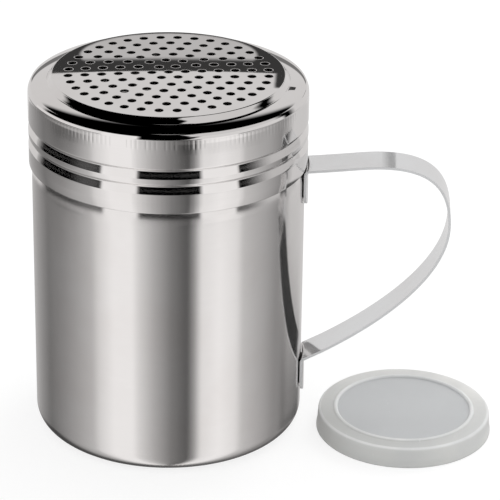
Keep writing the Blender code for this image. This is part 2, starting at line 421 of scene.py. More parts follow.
def plastic(name, look, sizes):
    """Frosted milky plastic with painted light, highlights and shade, and faint clouds and scuffs."""
    material = bpy.data.materials.new(name)
    board = Board(material)
    clouds = board.noise(CLOUD_SPOTS, 4.0, 0.6)
    scuffs = board.noise(SCUFF_SPOTS, 2.0, 0.7)
    place = board.place((1, 1, 1))
    across = board.place((1, 1, 0))
    radius = board.node("ShaderNodeVectorMath", {"operation": "LENGTH"}, {0: across}, "Value")
    # Painted light and shade: the rim is painted paler towards the rear and the right, where the lamp shines
    # through, and darker at the front and left
    lit_rear = board.rise(board.dot(place, (0, 1, 0)), -8 * MM, CAP_RADIUS * 0.9)
    lit_flank = board.rise(board.dot(place, (1, 0, 0)), 0, CAP_RADIUS)
    colour = board.blend((lit_rear * 0.75 + lit_flank * 0.5) * 0.9, (*look.shaded_rim_colour, 1), (*look.colour, 1))
    bead = sizes.bead_radius
    half = sizes.bead_width / 2
    # The panel inside the bead is darker and bluer: partly the plastic's own tint, partly painted shade of
    # the hollow under it
    colour = board.blend(board.rise(radius, bead, bead - half), colour, (*look.panel_tint_and_shade, 1))
    top_radius = CAP_RADIUS - sizes.draft
    # Painted highlight: the bead and the top edge are painted paler, as where rounded edges catch the light
    bead_highlight = board.between(radius, bead - half * 0.8, bead + half * 0.8, half * 0.3)
    edge_highlight = board.between(radius, top_radius - sizes.edge * 0.8, top_radius - 0.1 * MM, 0.15 * MM)
    ridge_highlights = bead_highlight + edge_highlight
    colour = board.blend(ridge_highlights.maths("MINIMUM", ridge_highlights, 1) * 0.85, colour, RIDGE_HIGHLIGHT_COLOUR)
    cloudy = board.rise(clouds, 0.36, 0.7)
    colour = board.blend(cloudy * 0.35, colour, (*[level * 0.93 for level in look.panel_tint_and_shade], 1))
    colour = board.blend(board.rise(scuffs, 0.66, 0.8) * 0.25, colour, SCUFF_COLOUR)
    shader = board.node("ShaderNodeBsdfPrincipled", None, {
        "Base Color": colour, "Roughness": look.roughness + (scuffs - 0.5) * 0.12, "IOR": PLASTIC_IOR,
        "Transmission Weight": look.clearness, "Subsurface Weight": 0.35,
        "Subsurface Radius": (4 * MM, 4 * MM, 4 * MM), "Subsurface Scale": 0.5,
        "Normal": board.bump(scuffs * 0.5 + clouds * 0.5, 0.02 * MM)})
    board.finish(shader)
    return material


def spoke(turn):
    """A step of one out from the axis, at a turn round it."""
    return Vector((math.cos(turn), math.sin(turn)))


def arc(centre, height, radius, start, end, steps):
    """Points of an arc in a profile, both ends included, angles in degrees."""
    points = []
    for step in range(steps + 1):
        angle = (start + (end - start) * step / steps) * DEGREE
        points.append((centre + radius * math.cos(angle), height + radius * math.sin(angle)))
    return points


def ring_of_verts(bm, radius, height, turns):
    """One ring of a turned surface, or the single vert at its pole."""
    if radius < POLE:
        return [bm.verts.new((0, 0, height))]
    return [bm.verts.new((radius * math.cos(turn), radius * math.sin(turn), height)) for turn in turns]


def bridge(bm, first, second):
    """Faces between two rings, or between a ring and a pole."""
    count = max(len(first), len(second))
    for number in range(count):
        after = (number + 1) % count
        corners = (first[number % len(first)], first[after % len(first)],
                   second[after % len(second)], second[number % len(second)])
        bm.faces.new(dict.fromkeys(corners))


def turned(bm, profile, turns):
    """Turn a profile round the Z axis; gives its rings."""
    rings = [ring_of_verts(bm, radius, height, turns) for radius, height in profile]
    for first, second in zip(rings, rings[1:]):
        bridge(bm, first, second)
    return rings


def even_turns(count):
    """Equal turns round the axis."""
    return [FULL_TURN * number / count for number in range(count)]


def face_outward(bm):
    """Make the faces of a closed surface look outward."""
    bmesh.ops.recalc_face_normals(bm, faces=bm.faces)
    if bm.calc_volume(signed=True) < 0:
        bmesh.ops.reverse_faces(bm, faces=bm.faces)


def inner_side(profile, wall):
    """The same profile moved inward by the sheet's thickness."""
    moved = []
    for number, point in enumerate(profile):
        before = Vector(profile[max(number - 1, 0)])
        after = Vector(profile[min(number + 1, len(profile) - 1)])
        run = (after - before).normalized()
        moved.append((point[0] + run.y * wall, point[1] - run.x * wall))
    return moved


def add_object(name, bm, materials):
    """Turn a bmesh into an object in the scene."""
    mesh = bpy.data.meshes.new(name)
    bm.to_mesh(mesh)
    bm.free()
    for material in materials:
        mesh.materials.append(material)
    added = bpy.data.objects.new(name, mesh)
    bpy.context.scene.collection.objects.link(added)
    return added


def add_piece(name, bm, materials, body, node):
    """Turn a bmesh into a smooth piece that stands for a solid and moves with its body."""
    piece = add_object(name, bm, materials)
    piece.data.shade_smooth()
    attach(piece, body)
    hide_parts(node)
    return piece


def add_modifier(piece, name, kind, **settings):
    """Give a piece a modifier with its settings."""
    modifier = piece.modifiers.new(name, kind)
    for key, value in settings.items():
        setattr(modifier, key, value)


def neck_ring(middle):
    """A smooth swell in the neck, from its lower to its upper end."""
    points = []
    for step in range(RING_STEPS + 1):
        share = step / RING_STEPS
        swell = NECK_RING * (1 - math.cos(FULL_TURN * share)) / 2
        points.append((NECK_RADIUS + swell, middle + NECK_RING_SPAN * (share - 0.5)))
    return points


def cup_profile(sizes):
    """The cup's outer side, from the middle of its base to its mouth."""
    corner = sizes.base_corner
    fillet = sizes.neck_fillet
    sweep = sizes.shoulder + fillet
    turn = math.degrees(math.acos(1 - (CUP_RADIUS - NECK_RADIUS) / sweep))
    body_top = RIM_LEVEL - sizes.shoulder_drop
    neck_start = body_top + sweep * math.sin(turn * DEGREE)
    points = [(0, 0)] + [(CUP_RADIUS - corner * share, 0) for share in (6, 4, 2)]
    points += arc(CUP_RADIUS - corner, corner, corner, -90, 0, CORNER_STEPS)
    for step in range(1, WALL_STEPS):
        points.append((CUP_RADIUS, corner + (body_top - corner) * step / WALL_STEPS))
    points += arc(CUP_RADIUS - sizes.shoulder, body_top, sizes.shoulder, 0, turn, SWEEP_STEPS)
    points += arc(NECK_RADIUS + fillet, neck_start, fillet, 180 + turn, 180, FILLET_STEPS)[1:]
    for top in reversed(GROOVE_TOPS):
        points += neck_ring(top - NECK_RING_DROP)
    points += arc(NECK_RADIUS - LIP_RADIUS, CUP_HEIGHT - LIP_RADIUS, LIP_RADIUS, 0, 90, LIP_STEPS)
    return points


def groove(top):
    """One groove rolled into the lid: a short turn inward, then a long slope back out."""
    points = []
    for step in range(GROOVE_STEPS + 1):
        share = step / GROOVE_STEPS
        inward = GROOVE_INNER * (1 - math.cos(math.pi * share)) / 2
        points.append((LID_RADIUS - inward, top - GROOVE_FALL * share))
    for share in GROOVE_SHARES:
        ease = 0.8 * share + 0.2 * share * share * (3 - 2 * share)
        points.append((LID_RADIUS - GROOVE_INNER * (1 - ease), top - GROOVE_FALL - GROOVE_SLOPE * share))
    return points


def lid_side_profile():
    """The lid's outer side, from the edge of its disc to its rim."""
    upper, lower = WALL_LEANS
    down, onto = [
        Vector((math.sin(lean * DEGREE), -math.cos(lean * DEGREE))) * WALL_HOLD for lean in WALL_LEANS]
    flat = DISC_RADIUS - DISC_EDGE
    points = arc(flat, disc_level(flat) - DISC_EDGE, DISC_EDGE, 90, upper, 6)[1:]
    cove = arc(TROUGH[0], TROUGH[1] + COVE, COVE, 180 + lower, COVE_END, 10)
    start, end = Vector(points[-1]), Vector(cove[0])
    wall = interpolate_bezier(start, start + down, end - onto, end, 8)[1:-1]
    shoulder = []
    for knots, steps in zip(SHOULDER_MM, SHOULDER_STEPS):
        shoulder += interpolate_bezier(*[Vector(knot) * MM for knot in knots], steps)[bool(shoulder):]
    points += [tuple(point) for point in wall] + cove[:-1] + [tuple(point) for point in shoulder]
    points += [(LID_RADIUS - short * MM, KNURL_TOP - down_by * MM) for short, down_by in BAND_MM]
    over, under = GROOVE_MARGINS
    for top in GROOVE_TOPS:
        points += [(LID_RADIUS, top + over)] + groove(top)
        points.append((LID_RADIUS, top - GROOVE_FALL - GROOVE_SLOPE - under))
    points.append((LID_RADIUS, RIM_LEVEL + RIM_BAND))
    points += arc(LID_RADIUS - RIM_EDGE, RIM_LEVEL + RIM_EDGE, RIM_EDGE, 0, -90, RIM_STEPS)
    return points


def disc_level(radius):
    """Height of the lid's slightly domed disc."""
    sag = bpy.context.scene.shaker.lid.dome
    return DISC_MIDDLE - sag * (radius / DISC_RADIUS) ** 2


def hole_places():
    """Middles of the lid's holes."""
    places = [Vector((0, 0))]
    for ring in range(1, HOLE_RINGS + 1):
        count = HOLES_PER_STEP * ring
        for number in range(count):
            places.append(spoke(HOLE_START + FULL_TURN * number / count) * ring * HOLE_PITCH)
    return places


def perforated_sheet(places, opening, edge_turns, edge_radius):
    """Triangles that fill the disc round its holes.

    Gives the points, the triangles, and the numbers of the points on the edge and on each hole.
    """
    rings = [[spoke(turn) * edge_radius for turn in edge_turns]]
    rings += [[place + spoke(turn) * opening for turn in even_turns(HOLE_SIDES)] for place in places]
    points = []
    edges = []
    spans = []
    for ring in rings:
        numbers = range(len(points), len(points) + len(ring))
        points += ring
        edges += zip(numbers, [*numbers[1:], numbers[0]])
        spans.append(numbers)
    loose = [spoke(turn) * LOOSE_RADIUS for turn in even_turns(LOOSE_POINTS)]
    scale = 1 / MM
    found, _, triangles, sources, _, _ = delaunay_2d_cdt(
        [point * scale for point in points + loose], edges, [], 0, MERGE_REACH)
    if len(found) != len(points) + len(loose):
        raise RuntimeError("the disc's sheet has crossed or doubled points")
    number_of = {source[0]: number for number, source in enumerate(sources)}
    kept = []
    for triangle in triangles:
        middle = sum((found[corner] for corner in triangle), Vector((0, 0))) / len(triangle) / scale
        if all((middle - place).length > opening * FILLED_SHARE for place in places):
            kept.append(triangle)
    loops = [[number_of[number] for number in numbers] for numbers in spans]
    return [point / scale for point in found], kept, loops


def build_lid_mesh(sizes, turns):
    """The lid's sheet: the disc's upper and lower skin, and the turned side, outside and inside."""
    bm = bmesh.new()
    places = hole_places()
    hole = sizes.hole_radius
    edge = DISC_RADIUS - DISC_EDGE
    flat, triangles, loops = perforated_sheet(places, hole + HOLE_EDGE[0][0], turns, edge)
    skins = []
    for drop in (0, sizes.wall):
        verts = [bm.verts.new((point.x, point.y, disc_level(point.length) - drop)) for point in flat]
        for triangle in triangles:
            bm.faces.new([verts[corner] for corner in (triangle if drop == 0 else reversed(triangle))])
        skins.append([[verts[corner] for corner in loop] for loop in loops])
    (edge_above, *holes_above), (edge_below, *holes_below) = skins
    side = lid_side_profile()
    ahead = [(edge, disc_level(edge))] + side
    inside = inner_side(ahead, sizes.wall)[1:-RIM_STEPS]
    inside.append((LID_RADIUS - sizes.wall, RIM_LEVEL + RIM_EDGE))
    rim = [(LID_RADIUS - sizes.wall + RIM_EDGE * 0.5, RIM_LEVEL)]
    rings = turned(bm, side + rim + inside[::-1], turns)
    bridge(bm, edge_above, rings[0])
    bridge(bm, rings[-1], edge_below)
    for place, upper, last in zip(places, holes_above, holes_below):
        for out, height in HOLE_EDGE[1:] + ((0.0, -sizes.wall), (HOLE_FLARE, -sizes.wall)):
            lower = []
            for turn in even_turns(HOLE_SIDES):
                spot = place + spoke(turn) * (hole + out)
                lower.append(bm.verts.new((spot.x, spot.y, disc_level(spot.length) + height)))
            bridge(bm, upper, lower)
            upper = lower
        bridge(bm, upper, last)
    return bm


def press_knurl(bm, count):
    """Sink each line of the knurled band a little, unevenly round the lid."""
    for vert in bm.verts:
        reach = math.hypot(vert.co.x, vert.co.y)
        step = math.atan2(vert.co.y, vert.co.x) / FULL_TURN * count
        in_band = KNURL_FOOT + KNURL_MARGIN < vert.co.z < KNURL_TOP + KNURL_MARGIN
        if in_band and reach >= LID_RADIUS - BAND_DEPTH and abs(step - round(step)) < ON_LINE:
            uneven = 0.5 + 0.3 * math.sin(step * 0.9) * math.sin(step * 2.3) + 0.2 * math.sin(step * 0.17)
            vert.co.xy *= 1 - KNURL_SINK * uneven / reach


def knurl_turns(count):
    """Turns round the lid, four to a knurl line: the line, its two edges and the land between."""
    return [FULL_TURN * (number + share) / count for number in range(count) for share in KNURL_SHARES]


def set_disc_normals(mesh, dome):
    """Give the disc the exact normals of its dome, so that it mirrors cleanly between its holes."""
    normals = []
    slope = 2 * dome / DISC_RADIUS ** 2
    flat_rings = DISC_RADIUS - DISC_EDGE + POLE
    for vert in mesh.vertices:
        reach = math.hypot(vert.co.x, vert.co.y)
        over = vert.co.z - disc_level(reach)
        if reach < flat_rings and abs(over) < POLE:
            normals.append(Vector((vert.co.x * slope, vert.co.y * slope, 1)).normalized())
        else:
            normals.append(vert.normal.copy())
    mesh.normals_split_custom_set_from_vertices(normals)


def strap_bend(before, corner, after):
    """An arc that replaces a corner of the strap's path."""
    into = (corner - before).normalized()
    out = (after - corner).normalized()
    turn = into.angle(out)
    cut_back = STRAP_BEND * math.tan(turn / 2)
    centre = corner + (out - into).normalized() * (STRAP_BEND / math.cos(turn / 2))
    first = (corner - into * cut_back - centre).normalized()
    last = (corner + out * cut_back - centre).normalized()
    return [centre + first.slerp(last, step / BEND_STEPS) * STRAP_BEND for step in range(BEND_STEPS + 1)]


def strap_stations():
    """Places along the strap from its upper tip to its lower one, each with its half width."""
    half = STRAP_WIDTH / 2
    line = []
    for knots in STRAP_CURVE_SHARES:
        points = [Vector((STRAP_REACH * reach, STRAP_RISE * rise)) for reach, rise in knots]
        line += interpolate_bezier(*points, STRAP_STEPS + 1)[bool(line):]
    drop = Vector((0, TAB_LENGTH))
    upper_bend = strap_bend(line[0] - drop, line[0], line[2])
    lower_bend = strap_bend(line[-3], line[-1], line[-1] - drop)
    tips = ([], [])
    for tip, top, stop in ((tips[0], line[0], upper_bend[0].y), (tips[1], line[-1], lower_bend[-1].y)):
        for step in range(TAB_STEPS + 1):
            angle = FULL_TURN / 4 * step / TAB_STEPS
            rise = TAB_CORNER * (1 - math.cos(angle))
            tip.append((top + Vector((0, rise - TAB_LENGTH)), half - TAB_CORNER * (1 - math.sin(angle))))
        start = top.y - TAB_LENGTH + TAB_CORNER
        for step in range(1, TAB_SIDE_STEPS):
            tip.append((Vector((top.x, start + (stop - start) * step / TAB_SIDE_STEPS)), half))
    middle = [(point, half) for point in upper_bend + line[3:-3] + lower_bend]
    return tips[0] + middle + tips[1][::-1]


def strap_surface(sizes):
    """The strap's middle surface, with the weld marks pressed into its tabs."""
    bm = bmesh.new()
    rows = []
    for point, half in strap_stations():
        root = 0 if point.y < STRAP_RISE / 2 else STRAP_RISE * STRAP_CURVE_SHARES[0][0][1]
        slope = max(0, point.y - root) / max(point.x, MM)
        row = []
        for column in range(STRAP_COLUMNS + 1):
            across = half * math.sin(math.pi * (column / STRAP_COLUMNS - 0.5))
            curve = STRAP_ORIGIN.x - math.sqrt(STRAP_ORIGIN.x ** 2 - across ** 2)
            hug = curve * max(0, 1 - point.x / HUG_REACH)
            row.append(bm.verts.new((point.x - hug, across, point.y - hug * slope)))
        rows.append(row)
    for row, after in zip(rows, rows[1:]):
        for column in range(STRAP_COLUMNS):
            bm.faces.new((row[column], row[column + 1], after[column + 1], after[column]))
    tip_levels = (rows[0][0].co.z, rows[-1][0].co.z)
    for vert in bm.verts:
        for level in tip_levels:
            for place in WELD_PLACES:
                away = math.hypot(vert.co.y, vert.co.z - level - place) / WELD_RADIUS
                if vert.co.x < ON_TAB and away < 1:
                    vert.co.x -= sizes.weld_depth * (1 + math.cos(math.pi * away)) / 2
    return bm


def gap_shade_pads(tip_levels):
    """A dark pad in the gap between each tab and the cup's wall: painted shade of that gap."""
    bm = bmesh.new()
    inner = CUP_RADIUS - GAP_PAD_INTO_WALL
    outer = STRAP_ORIGIN.x - GAP_PAD_SHORT
    half_height = (GAP_PAD_TO - GAP_PAD_FROM) / 2
    for tip in tip_levels:
        loops = []
        for depth, shrink in ((inner, 0.0), ((inner + outer) / 2, GAP_PAD_WAIST), (outer, 0.0)):
            loop = []
            for angle in even_turns(GAP_PAD_SIDES):
                sine, cosine = math.sin(angle), math.cos(angle)
                across = math.copysign(abs(sine) ** 0.5, sine) * (GAP_PAD_HALF - shrink)
                along = math.copysign(abs(cosine) ** 0.5, cosine) * (half_height - shrink)
                hug = depth if depth > inner else math.sqrt(inner ** 2 - across ** 2)
                loop.append(bm.verts.new((hug, across, tip + GAP_PAD_FROM + half_height + along)))
            loops.append(loop)
        for first, second in zip(loops, loops[1:]):
            bridge(bm, first, second)
        bm.faces.new(loops[0])
        bm.faces.new(loops[-1])
    face_outward(bm)
    return bm


def cap_profile(sizes):
    """The cap's section from the middle of its panel, over its skirt, to the middle of its ceiling."""
    top = sizes.height
    edge = sizes.edge
    draft = sizes.draft
    wall = sizes.wall
    bead = sizes.bead_radius
    half_bead = sizes.bead_width / 2
    panel = top - sizes.panel_drop
    rise = CAP_BEAD_TOP - top
    points = [(0, panel)] + [(bead * share, panel) for share in (0.3, 0.6, 0.85)]
    points += [(bead - half_bead * 1.5, panel), (bead - half_bead * 1.15, panel + 0.02 * MM)]
    for step in range(BEAD_STEPS + 1):
        share = step / BEAD_STEPS
        swell = (rise + sizes.panel_drop * (1 - share)) * math.sin(math.pi * share) ** 0.8
        points.append((bead - half_bead + 2 * half_bead * share, panel + (top - panel) * share + swell))
    points += [(bead + half_bead * 1.3, top), (bead + half_bead * 3, top)]
    points += arc(CAP_RADIUS - draft - edge, top - edge, edge, 90, 0, 8)
    points += [(CAP_RADIUS - draft * 0.75, top * 0.55), (CAP_RADIUS - draft * 0.5, sizes.lip * 1.3)]
    points += [(CAP_RADIUS - draft * 0.2, sizes.lip * 1.05), (CAP_RADIUS, sizes.lip * 0.75)]
    points += [(CAP_RADIUS, CAP_FOOT_EDGE), (CAP_RADIUS - CAP_FOOT_EDGE, 0)]
    points += [(CAP_RADIUS - wall + CAP_FOOT_EDGE, 0), (CAP_RADIUS - wall, CAP_FOOT_EDGE)]
    inner = CAP_RADIUS - draft - wall
    ceiling = panel - wall
    points += [(inner + draft * 0.3, sizes.lip * 1.5)]
    points += arc(inner - edge, ceiling - edge, edge, 0, 90, 6)
    points += [(inner * share, ceiling) for share in (0.85, 0.5)] + [(0, ceiling)]
    return points


def length(name, description, default):
    """A length that a user may change."""
    return bpy.props.FloatProperty(name=name, description=description, default=default, min=0, unit="LENGTH")


def share(name, description, default):
    """A share from 0 to 1 that a user may change."""
    return bpy.props.FloatProperty(
        name=name, description=description, default=default, min=0, max=1, subtype="FACTOR")


def colour(name, description, default):
    """A colour that a user may change."""
    return bpy.props.FloatVectorProperty(
        name=name, description=description, default=default, size=3, min=0, max=1, subtype="COLOR")


class ShakerCupSizes(bpy.types.PropertyGroup):
    """Sizes of the drawn cup."""
    wall: length("Wall", "Thickness of the cup's sheet", 0.6 * MM)
    base_corner: length("Base corner", "Radius of the rounded edge between base and wall", 4.5 * MM)
    shoulder: length("Shoulder", "Radius with which the wall turns in under the lid", 15.0 * MM)
    neck_fillet: length("Neck fillet", "Radius between the shoulder and the neck", 1.5 * MM)
    shoulder_drop: length("Shoulder drop", "How far under the lid's rim the wall starts to turn in", 4.2 * MM)


class ShakerStrapSizes(bpy.types.PropertyGroup):
    """Sizes of the strap handle."""
    thickness: length("Thickness", "Thickness of the strip", 0.65 * MM)
    edge_break: length("Edge break", "How far the strip's edges are rounded", 0.14 * MM)
    weld_depth: length("Weld depth", "How deep the weld marks are pressed into the tabs", 0.1 * MM)


class ShakerLidSizes(bpy.types.PropertyGroup):
    """Sizes of the pressed lid."""
    wall: length("Wall", "Thickness of the lid's sheet", 0.5 * MM)
    dome: length("Dome", "How far the disc's middle stands above its edge", 0.3 * MM)
    hole_radius: length("Hole radius", "Radius of the lid's holes", 1.08 * MM)
    knurl_lines: bpy.props.IntProperty(
        name="Knurl lines", description="Number of fine lines pressed round the lid's side",
        default=190, min=8)


class ShakerCapSizes(bpy.types.PropertyGroup):
    """Sizes of the plastic cap."""
    height: length("Height", "Height of the cap without its bead", 5.4 * MM)
    wall: length("Wall", "Thickness of the cap's skirt and panel", 0.9 * MM)
    draft: length("Draft", "How much wider the skirt is at its foot", 0.4 * MM)
    edge: length("Edge", "Radius of the cap's upper edge", 0.8 * MM)
    lip: length("Lip", "Height of the lip at the skirt's foot", 0.7 * MM)
    bead_radius: length("Bead radius", "Radius of the bead round the panel", 17.6 * MM)
    bead_width: length("Bead width", "Width of the bead", 1.2 * MM)
    panel_drop: length("Panel drop", "How far the panel lies under the cap's top", 0.3 * MM)


class ShakerSteelLook(bpy.types.PropertyGroup):
    """Look of one steel finish."""
    colour: colour("Colour", "Colour of the steel", (0.80, 0.785, 0.778))
    roughness: share("Roughness", "How blurred its reflections are", 0.2)
    bareness: share("Bareness", "How purely it mirrors, without a dull scatter", 1.0)
    brushed: share("Brushed", "How far its reflections stretch across its lines", 0.0)
    line_blur: share("Line blur", "How much its lines change the blur", 0.06)
    line_depth: share("Line depth", "How dark its lines are", 0.05)
    relief: length("Relief", "How deep its lines are", 0.004 * MM)


class ShakerPlasticLook(bpy.types.PropertyGroup):
    """Look of the frosted plastic."""
    # The rim's colour and its shaded colour are lit and shaded copies of one plastic: painted light and
    # painted shade
    colour: colour("Colour", "Colour of the rim where light comes through", (0.88, 0.875, 0.85))
    shaded_rim_colour: colour("Rim colour", "Colour of the rim on its shaded side", (0.64, 0.645, 0.63))
    # The panel's colour is partly the plastic's tint and partly painted shade of the hollow under the panel
    panel_tint_and_shade: colour("Panel colour", "Colour of the thin panel", (0.62, 0.632, 0.64))
    roughness: share("Roughness", "How blurred its gloss is", 0.42)
    clearness: share("Clearness", "How much light goes through", 0.0)


class ShakerStudioLook(bpy.types.PropertyGroup):
    """Light and floor of the studio."""
    soft_light: bpy.props.FloatProperty(
        name="Soft light", description="Strength of the light from all round", default=0.85, min=0)
    key_light: bpy.props.FloatProperty(
        name="Key light", description="Power of the soft lamp behind the shaker, in watts",
        default=1.6, min=0, subtype="POWER")
    floor_colour: colour("Floor colour", "Colour of the floor", (0.9, 0.9, 0.9))
    shadow: share("Shadow", "How much of the floor's own shade the camera sees", 0.35)


def group(kind):
    """A group of settings."""
    return bpy.props.PointerProperty(type=kind)


class ShakerSettings(bpy.types.PropertyGroup):
    """Everything about the shaker that a user may change."""
    cup: group(ShakerCupSizes)
    strap: group(ShakerStrapSizes)
    lid: group(ShakerLidSizes)
    cap: group(ShakerCapSizes)
    wall_steel: group(ShakerSteelLook)
    band_steel: group(ShakerSteelLook)
    mirror_steel: group(ShakerSteelLook)
    strap_steel: group(ShakerSteelLook)
    sheared_steel: group(ShakerSteelLook)
    gap_shade_steel: group(ShakerSteelLook)
    hole_shade_steel: group(ShakerSteelLook)
    frosted_plastic: group(ShakerPlasticLook)
    studio: group(ShakerStudioLook)


# What each steel finish has instead of the defaults
STEEL_LOOKS = {
    "wall_steel": {
        "roughness": 0.14, "brushed": 0.9, "line_blur": 0.05, "line_depth": 0.04, "relief": 0.003 * MM},
    "band_steel": {
        "roughness": 0.065, "brushed": 0.8, "line_blur": 0.03, "line_depth": 0.03, "relief": 0.001 * MM},
    "mirror_steel": {"roughness": 0.014, "line_blur": 0.006, "line_depth": 0.02, "relief": 0.0002 * MM},
    "strap_steel": {
        "colour": (0.86, 0.872, 0.882), "roughness": 0.08, "bareness": 0.91,
        "line_blur": 0.03, "line_depth": 0.03, "relief": 0.0008 * MM},
    "sheared_steel": {"colour": (0.80, 0.81, 0.82), "roughness": 0.5, "bareness": 0.3},
    # A near-black finish for the pads behind the tabs: painted shade of the gap between tab and wall
    "gap_shade_steel": {"colour": (0.10, 0.095, 0.09), "roughness": 0.5, "line_blur": 0.1},
    # A dark finish for the holes' walls: painted shade inside the holes
    "hole_shade_steel": {"colour": (0.16, 0.155, 0.15), "roughness": 0.35, "line_blur": 0.1},
}


class SHAKER_OT_cup(bpy.types.Operator):
    """Build the drawn cup"""
    bl_idname = "shaker.cup"
    bl_label = "Cup"

    def execute(self, context):
        settings = context.scene.shaker
        bm = bmesh.new()
        turned(bm, cup_profile(settings.cup), even_turns(CUP_TURNS))
        bmesh.ops.recalc_face_normals(bm, faces=bm.faces)
        if sum(face.normal.z for face in bm.faces if face.calc_center_median().z < POLE) > 0:
            bmesh.ops.reverse_faces(bm, faces=bm.faces)
        finish = steel("brushed_wall", settings.wall_steel, ROUND_LINES)
        cup = add_piece("cup_body", bm, [finish], "shaker_cup", "cup_shell")
        add_modifier(
            cup, "wall", "SOLIDIFY", thickness=settings.cup.wall, offset=-1, use_even_offset=True,
            use_quality_normals=True)
        return {"FINISHED"}


class SHAKER_OT_strap(bpy.types.Operator):
    """Build the strap handle"""
    bl_idname = "shaker.strap"
    bl_label = "Strap handle"

    def execute(self, context):
        settings = context.scene.shaker
        bm = strap_surface(settings.strap)
        bmesh.ops.translate(bm, verts=bm.verts, vec=STRAP_ORIGIN)
        finish = steel("satin_strap", settings.strap_steel, STRAP_LINES)
        sheared = steel("sheared_edge", settings.sheared_steel, STRAP_LINES)
        strap = add_piece("strap", bm, [finish, sheared], "shaker_cup", "strap_handle")
        add_modifier(
            strap, "sheet", "SOLIDIFY", thickness=settings.strap.thickness, offset=0, use_even_offset=True,
            material_offset_rim=1)
        add_modifier(
            strap, "edges", "BEVEL", width=settings.strap.edge_break, segments=EDGE_SEGMENTS,
            limit_method="ANGLE", angle_limit=EDGE_ANGLE, harden_normals=False)
        tips = [STRAP_ORIGIN.z + rise * STRAP_RISE - TAB_LENGTH for rise in (STRAP_CURVE_SHARES[0][0][1], 0)]
        # The dark pads are painted shade of the gaps behind the tabs
        gap_shade = steel("painted_gap_shade", settings.gap_shade_steel, STRAP_LINES)
        add_piece("strap_gap_shade", gap_shade_pads(tips), [gap_shade], "shaker_cup", "strap_handle")
        return {"FINISHED"}


class SHAKER_OT_lid(bpy.types.Operator):
    """Build the perforated lid"""
    bl_idname = "shaker.lid"
    bl_label = "Perforated lid"

    def execute(self, context):
        settings = context.scene.shaker
        sizes = settings.lid
        bm = build_lid_mesh(sizes, knurl_turns(sizes.knurl_lines))
        face_outward(bm)
        press_knurl(bm, sizes.knurl_lines)
        mirror = steel("mirror_steel", settings.mirror_steel, DISC_LINES)
        band = steel("brushed_band", settings.band_steel, ROUND_LINES)
        hole_shade = steel("painted_hole_shade", settings.hole_shade_steel, DISC_LINES)
        for face in bm.faces:
            middle = face.calc_center_median()
            reach = math.hypot(middle.x, middle.y)
            below = disc_level(reach) - middle.z
            if middle.z < KNURL_TOP:
                face.material_index = 1
            # The holes' walls get the dark finish, painted shade inside the holes
            elif reach < DISC_RADIUS - DISC_EDGE and below > PUNCHED_DEPTH:
                face.material_index = 2
        lid = add_piece("lid_pressing", bm, [mirror, band, hole_shade], "lid", "perforated_lid")
        set_disc_normals(lid.data, sizes.dome)
        return {"FINISHED"}


class SHAKER_OT_cap(bpy.types.Operator):
    """Build the loose plastic cap"""
    bl_idname = "shaker.cap"
    bl_label = "Plastic cap"

    def execute(self, context):
        settings = context.scene.shaker
        bm = bmesh.new()
        turned(bm, cap_profile(settings.cap), even_turns(CAP_TURNS))
        face_outward(bm)
        finish = plastic("frosted_plastic", settings.frosted_plastic, settings.cap)
        cap = add_piece("cap_moulding", bm, [finish], "cap", "snap_cap")
        cap.location = CAP_CENTRE
        cap.visible_glossy = False
        return {"FINISHED"}


class SHAKER_OT_stage(bpy.types.Operator):
    """Set up the camera, the floor and the light"""
    bl_idname = "shaker.stage"
    bl_label = "Camera and studio"

    def execute(self, context):
        look = context.scene.shaker.studio
        set_camera(context.scene)
        set_floor(look)
        set_world(context.scene, look)
        set_key_light(look)
        context.scene.view_settings.view_transform = "Standard"
        return {"FINISHED"}


def set_camera(scene):
    """Stand the camera before the shaker and aim it so that the shaker's axis falls in its own column."""
    level, rise = math.cos(CAMERA_RISE), math.sin(CAMERA_RISE)
    forward = ONWARD * level - Vector((0, 0, rise))
    upward = ONWARD * rise + Vector((0, 0, level))
    middle = FRAME_PIXELS / 2
    aim = forward * FOCAL_PIXELS + SIDEWAYS * (middle - AXIS_COLUMN) - upward * (middle - AIM_ROW)
    aim.normalize()
    across = (SIDEWAYS - aim * SIDEWAYS.dot(aim)).normalized()
    above = across.cross(aim)
    place = Vector((0, 0, AIM_HEIGHT)) - forward * CAMERA_DISTANCE
    camera = bpy.data.objects.new("camera", bpy.data.cameras.new("camera"))
    scene.collection.objects.link(camera)
    turn = Matrix((across, above, -aim)).transposed()
    camera.matrix_world = Matrix.Translation(place) @ turn.to_4x4()
    camera.data.sensor_width = SENSOR
    camera.data.lens = FOCAL_PIXELS / FRAME_PIXELS * SENSOR
    camera.data.clip_start = CLIP_NEAR
    camera.data.clip_end = CLIP_FAR
    scene.camera = camera


def set_floor(look):
    """A plain pale floor: white to the camera but for the object's shade, and open to mirrored rays."""
    material = bpy.data.materials.new("floor")
    board = Board(material)
    camera_ray, through, mirrored = board.ray_kinds("Is Camera Ray", "Is Transmission Ray", "Is Glossy Ray")
    worn = [level * 0.985 for level in look.floor_colour]
    pale = board.blend(board.noise((9, 9, 9), 3.0), (*look.floor_colour, 1), (*worn, 1))
    shaded = board.node("ShaderNodeBsdfDiffuse", None, {"Color": pale})
    white = board.node("ShaderNodeEmission", None, {"Color": (1, 1, 1, 1), "Strength": FLOOR_WHITE})
    lit = board.mix((camera_ray + through) * (1 - look.shadow), shaded, white)
    board.finish(board.mix(mirrored, lit, board.node("ShaderNodeBsdfTransparent")))
    bm = bmesh.new()
    turned(bm, [(radius, 0) for radius in FLOOR_RADII], even_turns(FLOOR_TURNS))
    bmesh.ops.recalc_face_normals(bm, faces=bm.faces)
    floor = add_object("floor", bm, [material])


